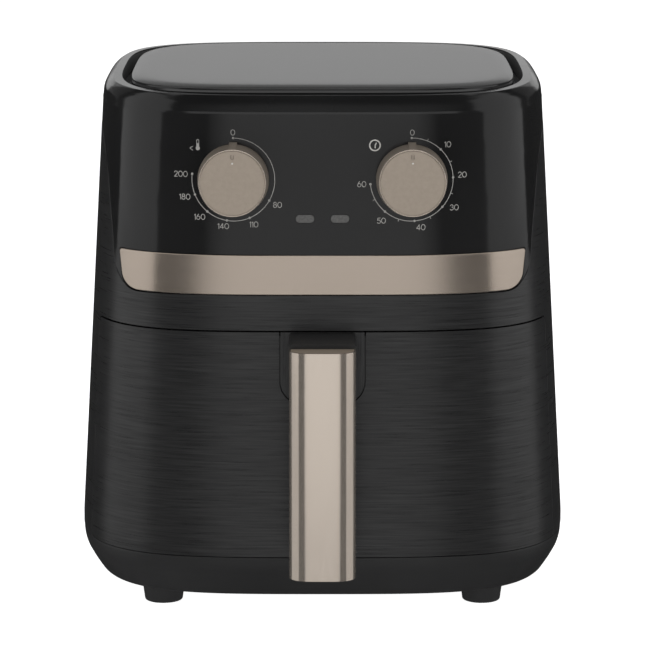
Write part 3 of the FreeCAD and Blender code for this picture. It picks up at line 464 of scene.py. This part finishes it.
def band_piece(name, outline, xm, zm, r, o_out, o_in, mat, body, node):
    """plate on the body's surface: rings shrink from the outline to the middle line, edge rounded by r"""
    C = np.stack([np.clip(outline[:, 0], -xm, xm), np.full(len(outline), zm)], -1)
    dv = C - outline
    L = np.linalg.norm(dv, axis=1, keepdims=True)
    dv = dv / L
    e3 = np.stack([dv[:, 0], np.zeros(len(dv)), dv[:, 1]], -1)

    def ring(q, o):
        return surf(s_of_x(q[:, 0], q[:, 1]), q[:, 1], o)

    def nrm(q, o):
        n = surf_n(s_of_x(q[:, 0], q[:, 1]), q[:, 1], o)
        h = np.hypot(n[:, 0], n[:, 1])
        az = np.degrees(np.arctan2(np.abs(n[:, 0]), -n[:, 1]))
        az = np.radians(np.interp(az, [0, 10, 15, 18, 21, 24, 27, 30, 180], [0, 7.5, 11.3, 14.0, 17.6, 21.9, 26.4, 30, 180]))   # flatter middle
        return np.stack([np.sign(n[:, 0]) * h * np.sin(az), -h * np.cos(az), n[:, 2]], -1)
    rr, nn = [], []

    def add(q, o, ph):
        n = nrm(q, o)
        t = e3 - n * np.sum(e3 * n, axis=1, keepdims=True)
        t /= np.linalg.norm(t, axis=1, keepdims=True)
        rr.append(ring(q, o))
        nn.append(n * math.sin(ph) - t * math.cos(ph))
    for fr in (0.97, 0.75, 0.5, 0.25):
        add(outline + dv * np.maximum(r, L * fr), o_in, -math.pi / 2)
    add(outline + dv * 0.02, o_in, -math.pi / 2)
    add(outline, o_in - 0.02, 0.0)
    add(outline, o_out + r, 0.0)
    for ph in np.radians([12, 24, 36, 48, 60, 72, 82, 90]):
        add(outline + dv * r * (1 - math.cos(ph)), o_out + r * (1 - math.sin(ph)), ph)
    for fr in (0.12, 0.2, 0.35, 0.55, 0.78, 0.97):
        add(outline + dv * np.maximum(r * 1.02, L * fr), o_out, math.pi / 2)
    n = len(outline)
    m = len(rr)
    v, f = rings_mesh(rr, False, False)
    f = f[:(m - 1) * n]
    # the innermost rings face each other across the middle line: join them with a strip from end to end
    def strip(b, flip):
        i0 = int(np.argmin(outline[:, 0]))
        a, c = (i0 + 1) % n, i0
        out = []
        for _ in range(n - 2):
            a2, c2 = (a + 1) % n, (c - 1) % n
            if a == c or a2 == c:
                break
            t = (b + a, b + a2, b + c) if C[a2][0] <= C[c2][0] or c2 == a2 else (b + a, b + c2, b + c)
            if t[1] == b + a2:
                a = a2
            else:
                c = c2
            out.append(t[::-1] if flip else t)
        return out
    f = f + strip(0, False) + strip((m - 1) * n, True)
    o = mesh_obj(name, v, f, mat, body, node)
    fix_normals(o)
    o.data.polygons.foreach_set("use_smooth", [True] * len(o.data.polygons))
    o.data.normals_split_custom_set_from_vertices([tuple(float(c) for c in w) for w in np.concatenate(nn)])
    return o


tx_, tz0, tz1 = 114.1, 186.6, 208.75
trim_out = rounded_outline([(-(tx_ - 2.1), tz0), (tx_ - 2.1, tz0), (tx_, tz1), (-tx_, tz1)], [10, 10, 1.6, 1.6], 1.0)
trim = band_piece("trim", trim_out, 103.0, (tz0 + tz1) / 2, 0.55, -0.45, STEP + 1.1, M["champ_h"], "housing", "trim_band")

# end face of the handle cover: flat satin plate inside its rounded edge
hz = 163.2
hy = -(B(hz) + 50.0) + YS
hh = [(17.3, 13.9), (17.3, 9.3), (17.1, 8.3), (16.75, 7.2), (16.25, 6.2), (15.65, 5.3), (14.9, 4.3), (14.0, 3.4), (13.1, 2.68), (12.2, 2.12), (11.1, 1.68), (10.2, 1.46),
      (9.3, 1.3), (7.9, 1.15), (5.0, 1.03), (0.0, 1.0)]
hp = [(x, d) for x, d in hh] + [(-x, d) for x, d in reversed(hh[:-1])]
n = len(hp)
v = [(x, hy + d, hz - 0.05) for x, d in hp] + [(x, hy + d, hz + 0.04) for x, d in hp] + [(0, hy + 7.0, hz - 0.05), (0, hy + 7.0, hz + 0.04)]
f = [(i, (i + 1) % n, n + (i + 1) % n, n + i) for i in range(n)] + [((i + 1) % n, i, 2 * n) for i in range(n)] + [(n + i, n + (i + 1) % n, 2 * n + 1) for i in range(n)]
fix_normals(mesh_obj("handle_cover_end", v, f, M["champ_top"], "drawer", smooth=False))

# ---------------------------------------------------------------- printed dials: strokes laid on the panel as thin raised ink
INK, INK_T = 0.10, 0.22      # top of the ink above the panel, and its total thickness


def arc_pts(cx, cz, r, a0, a1, n):
    """angles in degrees clockwise from the top, seen from the front"""
    t = np.radians(np.linspace(a0, a1, n))
    return np.stack([cx + r * np.sin(t), cz + r * np.cos(t)], -1)


class Ink:
    def __init__(self):
        self.v, self.f = [], []

    def poly(self, pts):
        """filled convex outline in x, z"""
        n = len(pts)
        k = len(self.v)
        c = np.mean(pts, axis=0)
        top = [(p[0], p[1], INK) for p in pts] + [(c[0], c[1], INK)]
        bot = [(p[0], p[1], INK - INK_T) for p in pts] + [(c[0], c[1], INK - INK_T)]
        self.v += top + bot
        m = n + 1
        for i in range(n):
            j = (i + 1) % n
            self.f.append((k + i, k + j, k + n))
            self.f.append((k + m + j, k + m + i, k + m + n))
            self.f.append((k + i, k + m + i, k + m + j, k + j))

    def stroke(self, pts, w, closed=False):
        """ribbon of width w along a fine polyline, with round ends"""
        p = np.asarray(pts, float)
        n = len(p)
        if closed:
            d = np.roll(p, -1, 0) - np.roll(p, 1, 0)
        else:
            d = np.gradient(p, axis=0)
        d /= np.linalg.norm(d, axis=1, keepdims=True)
        nn = np.stack([-d[:, 1], d[:, 0]], -1) * (w / 2)
        L, R = p + nn, p - nn
        if not closed:
            def cap(c, di, side):
                a = np.linspace(0, np.pi, 7)
                e = np.stack([-di[1], di[0]]) if side else np.stack([di[1], -di[0]])
                f = di if side else -di
                return [c + (w / 2) * (np.cos(t) * e + np.sin(t) * f) for t in a]
            ring = list(L[:-1]) + cap(p[-1], d[-1], True) + list(R[1:-1][::-1]) + cap(p[0], d[0], False)[:-1]
            self.fill(L, R, p, d, w)
        else:
            self.fill(L, R, p, d, w, True)

    def fill(self, L, R, p, d, w, closed=False):
        if not closed:
            # half-round ends as extra cross-sections of shrinking width
            ext = []
            for s_, q, di in ((-1, p[0], d[0]), (1, p[-1], d[-1])):
                rows = []
                for t in (0.45, 0.8, 0.97):
                    half = math.sqrt(max(0.0, 1 - t * t)) * w / 2
                    c = q + di * s_ * t * w / 2
                    e = np.array([-di[1], di[0]]) * half
                    rows.append((c + e, c - e))
                ext.append(rows)
            L = np.array([r[0] for r in ext[0][::-1]] + list(L) + [r[0] for r in ext[1]])
            R = np.array([r[1] for r in ext[0][::-1]] + list(R) + [r[1] for r in ext[1]])
        n = len(L)
        k = len(self.v)
        for i in range(n):
            self.v += [(L[i][0], L[i][1], INK), (R[i][0], R[i][1], INK), (R[i][0], R[i][1], INK - INK_T), (L[i][0], L[i][1], INK - INK_T)]
        rng = range(n) if closed else range(n - 1)
        for i in rng:
            a, b = k + 4 * i, k + 4 * ((i + 1) % n)
            self.f += [(a, b, b + 1, a + 1), (a + 1, b + 1, b + 2, a + 2), (a + 2, b + 2, b + 3, a + 3), (a + 3, b + 3, b, a)]
        if not closed:
            self.f += [(k, k + 1, k + 2, k + 3), (k + 4 * n - 1, k + 4 * n - 2, k + 4 * n - 3, k + 4 * n - 4)]

    def dot(self, cx, cz, r):
        self.poly([(cx + r * math.cos(t), cz + r * math.sin(t)) for t in np.linspace(0, 2 * math.pi, 21)[:-1]])

    def build(self, name, mat="print"):
        v = np.array(self.v)
        y = front_y(v[:, 0], v[:, 1]) - v[:, 2]
        pts = np.stack([v[:, 0], y, v[:, 1]], -1)
        o = mesh_obj(name, pts, self.f, M[mat], "housing", smooth=False)
        bm = bmesh.new(); bm.from_mesh(o.data)
        bmesh.ops.recalc_face_normals(bm, faces=bm.faces)
        bm.to_mesh(o.data); bm.free()
        return o


def ell(cx, cy, rx, ry, a0, a1, n):
    t = np.radians(np.linspace(a0, a1, n))
    return [(cx + rx * math.cos(k), cy + ry * math.sin(k)) for k in t]


# thin rounded numerals one unit tall: width, then a list of polylines
NUM = {
    "0": (0.74, [ell(0.37, 0.5, 0.37, 0.5, 90, 450, 44)]),
    "1": (0.22, [[(0.0, 0.80), (0.08, 0.87), (0.20, 1.0), (0.20, 0.9), (0.20, 0.5), (0.20, 0.0)]]),
    "2": (0.60, [ell(0.30, 0.72, 0.28, 0.28, 165, -35, 18) + [(0.34, 0.36), (0.17, 0.17), (0.02, 0.0)], [(0.02, 0.0), (0.3, 0.0), (0.60, 0.0)]]),
    "3": (0.58, [ell(0.27, 0.75, 0.25, 0.25, 155, -80, 18), ell(0.27, 0.27, 0.31, 0.27, 88, -155, 20)]),
    "4": (0.68, [[(0.50, 0.0), (0.50, 0.5), (0.50, 1.0)], [(0.50, 1.0), (0.25, 0.62), (0.0, 0.26)], [(0.0, 0.26), (0.34, 0.26), (0.68, 0.26)]]),
    "5": (0.58, [[(0.53, 1.0), (0.3, 1.0), (0.10, 1.0)], [(0.10, 1.0), (0.075, 0.76), (0.05, 0.54)], ell(0.27, 0.31, 0.31, 0.31, 138, -150, 22)]),
    "6": (0.64, [ell(0.32, 0.31, 0.32, 0.31, 0, 360, 30), [(0.03, 0.40), (0.12, 0.62), (0.25, 0.84), (0.38, 1.0)]]),
    "8": (0.62, [ell(0.31, 0.76, 0.24, 0.24, 90, 450, 28), ell(0.31, 0.26, 0.31, 0.26, 90, 450, 28)]),
}


def resample(p, step):
    p = np.asarray(p, float)
    d = np.hypot(*np.diff(p, axis=0).T)
    s = np.concatenate([[0], np.cumsum(d)])
    n = max(3, int(s[-1] / step) + 1)
    t = np.linspace(0, s[-1], n)
    return np.stack([np.interp(t, s, p[:, 0]), np.interp(t, s, p[:, 1])], -1)


def number(ink, text, cx, cz, h, w):
    gap = 0.20
    tot = sum(NUM[c][0] for c in text) + gap * (len(text) - 1)
    ox = -tot / 2
    for ch in text:
        wd, pls = NUM[ch]
        for pl in pls:
            pts = [(cx + (ox + x) * h, cz + (y - 0.5) * h) for x, y in pl]
            closed = len(pl) > 12 and abs(pl[0][0] - pl[-1][0]) < 1e-6 and abs(pl[0][1] - pl[-1][1]) < 1e-6
            q = resample(pts, 0.12)
            ink.stroke(q[:-1] if closed else q, w, closed)
        ox += wd + gap


KX, KZ = 49.4, 250.8
PX = 0.5475                    # mm per photo pixel on the panel
DIAL_R = 23.0
ink = Ink()
temp_marks = [(0, "0"), (120, "80"), (157, "110"), (189, "140"), (219, "160"), (248, "180"), (277, "200")]
ink.stroke(arc_pts(-KX, KZ, DIAL_R, 0, 277, 230), 0.36)
for a, t in temp_marks:
    p = arc_pts(-KX, KZ, DIAL_R, a, a, 1)[0]
    ink.dot(p[0], p[1], 0.66)
lab_t = {"0": (233, 132), "80": (278, 205), "110": (254, 225), "140": (223, 227), "160": (199, 218), "180": (184, 198), "200": (180, 175)}
for a, t in temp_marks:
    u, v = lab_t[t]
    number(ink, t, -KX + (u - 233.3) * PX, KZ - (v - 179.7) * PX, 2.95, 0.34)
temp_print = ink.build("temperature_dial_print")
ink = Ink()
ink.stroke(arc_pts(KX, KZ, DIAL_R, 0, 264, 220), 0.36)
lab_m = {"0": (412, 132), "10": (448, 144.5), "20": (463, 175.6), "30": (455, 208.6), "40": (421, 228), "50": (381, 221), "60": (361, 184)}
for i, t in enumerate(["0", "10", "20", "30", "40", "50", "60"]):
    p = arc_pts(KX, KZ, DIAL_R, 44 * i, 44 * i, 1)[0]
    ink.dot(p[0], p[1], 0.66)
    u, v = lab_m[t]
    number(ink, t, KX + (u - 411.6) * PX, KZ - (v - 179.6) * PX, 2.95, 0.34)
    if i < 6:
        q0 = arc_pts(KX, KZ, DIAL_R + 0.1, 44 * i + 22, 44 * i + 22, 1)[0]
        q1 = arc_pts(KX, KZ, DIAL_R + 1.2, 44 * i + 22, 44 * i + 22, 1)[0]
        ink.stroke(resample([q0, q1], 0.3), 0.32)
timer_print = ink.build("timer_dial_print")
# clock sign and thermometer sign
ink = Ink()
cx, cz = KX + (374.3 - 411.6) * PX, KZ - (144.7 - 179.6) * PX
ink.stroke(arc_pts(cx, cz, 2.9, 0, 360, 60)[:-1], 0.72, True)
ink.stroke(resample([(cx + 0.75, cz + 1.25), (cx + 0.15, cz), (cx + 0.1, cz - 1.35)], 0.15), 0.6)
clock_print = ink.build("clock_sign_print", "sign")
ink = Ink()
cx, cz = -KX + (197.4 - 233.3) * PX, KZ - (145.0 - 179.7) * PX
ink.stroke(resample([(cx - 0.62, cz - 0.9), (cx - 0.62, cz + 2.3)] + [(cx + 0.62 * math.cos(t), cz + 2.3 + 0.62 * math.sin(t)) for t in np.linspace(math.pi, 0, 9)]
                    + [(cx + 0.62, cz - 0.9)], 0.12), 0.30)
ink.dot(cx, cz - 1.9, 1.15)
ink.stroke(resample([(cx, cz - 1.6), (cx, cz + 0.3)], 0.15), 1.2)
cx2, cz2 = -KX + (190.7 - 233.3) * PX, KZ - (148.6 - 179.7) * PX
ink.stroke(resample([(cx2 + 0.9, cz2 + 1.1), (cx2 - 0.7, cz2), (cx2 + 0.9, cz2 - 1.1)], 0.12), 0.30)
thermo_print = ink.build("thermometer_sign_print")

# on each knob: bright edge round the face, dark bars outlining a slot near the top that paint the slot's shade, and a
# small raised dot below it
def on_knob(x0, q):
    """knob's own axes (right, up, outward) to the frame"""
    q = np.asarray(q, float)
    c, s_ = math.cos(TILT), math.sin(TILT)
    yb = -B(KZ) * (1 - (abs(x0) / A(KZ)) ** 3.83) ** (1 / 3.83) + YS
    return np.stack([x0 + q[:, 0], yb - q[:, 2] * c + q[:, 1] * s_, KZ + q[:, 1] * c + q[:, 2] * s_], -1)


for x0, body, nm in ((-KX, "temperature_dial", "temperature"), (KX, "timer_dial", "timer")):
    rings = []
    for r, z in ((0.5, 22.9), (0.5, 23.13), (0.42, 23.19), (0.25, 23.22)):
        t = np.linspace(0, 2 * math.pi, 25)[:-1]
        rings.append(on_knob(x0, np.stack([r * np.cos(t), 10.9 + r * np.sin(t), np.full(24, z)], -1)))
    v, f = rings_mesh(rings, True, True)
    fix_normals(mesh_obj(nm + "_pointer_dot", v, f, M["sign"], body), 40)
    t = np.linspace(0, 2 * math.pi, 121)[:-1]
    rings = []
    for ph in np.linspace(0, 2 * math.pi, 15)[:-1]:
        r = 18.2 + 0.32 * math.cos(ph)
        rings.append(on_knob(x0, np.stack([r * np.cos(t), r * np.sin(t), np.full(120, 22.9 + 0.32 * math.sin(ph))], -1)))
    v, f = rings_mesh(rings, False, False)
    fix_normals(mesh_obj(nm + "_knob_edge", v, f, M["champ_e"], body))
    # dark bars beside the slot: painted shade standing in for the recess
    v, f = [], []
    for dx in (-0.8, 0.8):
        k = len(v)
        q = [(dx - 0.15, 13.3), (dx + 0.15, 13.3), (dx + 0.15, 15.5), (dx - 0.15, 15.5)]
        v += [tuple(c) for c in on_knob(x0, [(a, b, 22.58) for a, b in q] + [(a, b, 23.13) for a, b in q])]
        f += [tuple(k + i for i in c) for c in ((3, 2, 1, 0), (4, 5, 6, 7), (0, 1, 5, 4), (1, 2, 6, 5), (2, 3, 7, 6), (3, 0, 4, 7))]
    fix_normals(mesh_obj(nm + "_pointer_slot_painted_shade", v, f, M["champ_d"], body, smooth=False))

# ---------------------------------------------------------------- stage, light, camera
fl = bpy.data.meshes.new("floor")
R = 6.0
fl.from_pydata([(-R, -R, 0), (R, -R, 0), (R, R, 0), (-R, R, 0)], [], [(0, 1, 2, 3)])
floor = bpy.data.objects.new("floor", fl)
scene.collection.objects.link(floor)
fm, fnt, fb = new_mat("floor_pale")
link(fnt, ramp(fnt, noise(fnt, (1, 1, 1), 3.0, 2.0), [(0.3, (0.90, 0.90, 0.90)), (0.7, (0.93, 0.93, 0.93))]), fb.inputs["Base Color"])
fb.inputs["Roughness"].default_value = 0.9
fb.inputs["Emission Color"].default_value = (1, 1, 1, 1)
fb.inputs["Emission Strength"].default_value = 1.0
floor.data.materials.append(fm)
floor.visible_glossy = False
floor.visible_shadow = False

world = bpy.data.worlds.new("studio")
scene.world = world
world.use_nodes = True
bg = world.node_tree.nodes["Background"]
bg.inputs["Color"].default_value = (1, 1, 1, 1)
bg.inputs["Strength"].default_value = 0.02


def area(name, loc, facing, sx, sy, radiance):
    l = bpy.data.lights.new(name, "AREA")
    l.shape = "RECTANGLE"
    l.size, l.size_y = sx, sy
    l.energy = radiance * sx * sy * math.pi
    o = bpy.data.objects.new(name, l)
    scene.collection.objects.link(o)
    o.location = loc
    o.rotation_euler = Vector(facing).to_track_quat("-Z", "Y").to_euler()
    o.visible_camera = False
    return o


def ring_area(name, az, dist, z0, z1, w, radiance):
    """upright panel at an azimuth seen from the front (positive to the right), facing the axis"""
    a = math.radians(az)
    return area(name, (dist * math.sin(a), -dist * math.cos(a), (z0 + z1) / 2), (-math.sin(a), math.cos(a), 0), w, z1 - z0, radiance)


# front softbox with a soft fall-off to both sides
for i_, (w, r_, z_) in enumerate([(1.30, 0.16, -1.9), (1.50, 0.13, -1.9), (1.70, 0.13, -1.9), (1.90, 0.13, -0.3), (2.10, 0.12, -0.3)]):
    ring_area("front_box_%d" % i_, 0, 2.7 + 0.01 * i_, z_, 2.0, w, r_)
for sx in (-1, 1):
    ring_area("fill_%d" % sx, sx * 39, 2.5, -1.0, 2.2, 1.5, 0.065)       # weak fill between front and side
    for k_, (z0_, z1_, r_) in enumerate([(-0.7, -0.12, 0.40), (-0.12, 0.06, 0.56), (0.06, 3.1, 0.74)]):
        ring_area("side_box_%d_%d" % (k_, sx), sx * 84, 2.1, z0_, z1_, 2.35, r_)   # tall side softboxes, weaker near the floor
area("brow_box", (0, -1.95, 1.95), (0, 1.95, -1.65), 3.0, 0.9, 0.9)      # narrow box high in front
area("top_box", (0, 0.5, 2.7), (0, 0, -1), 3.2, 2.4, 0.9)
area("back_low", (0, 3.0, 0.66), (0, -1, 0), 2.8, 0.72, 0.57)
for sx in (-1, 1):
    ring_area("back_side_%d" % sx, sx * 143, 2.6, 0.5, 2.2, 1.6, 0.10)
area("back_high", (0, 2.5, 1.75), (0, -2.5, -1.45), 2.8, 1.5, 0.30)

cam_d = bpy.data.cameras.new("camera")
cam = bpy.data.objects.new("camera", cam_d)
scene.collection.objects.link(cam)
cam_d.sensor_width = 36.0
cam_d.sensor_fit = "HORIZONTAL"
cam_d.lens = 3481.45 / 645.0 * 36.0
cam_d.clip_end = 50.0
cam.location = (0, (-2050.7 + YS) * 0.001, 0.5237)
cam.rotation_euler = (math.pi / 2 - 0.183, 0, 0)
scene.camera = cam
scene.view_settings.view_transform = "Standard"
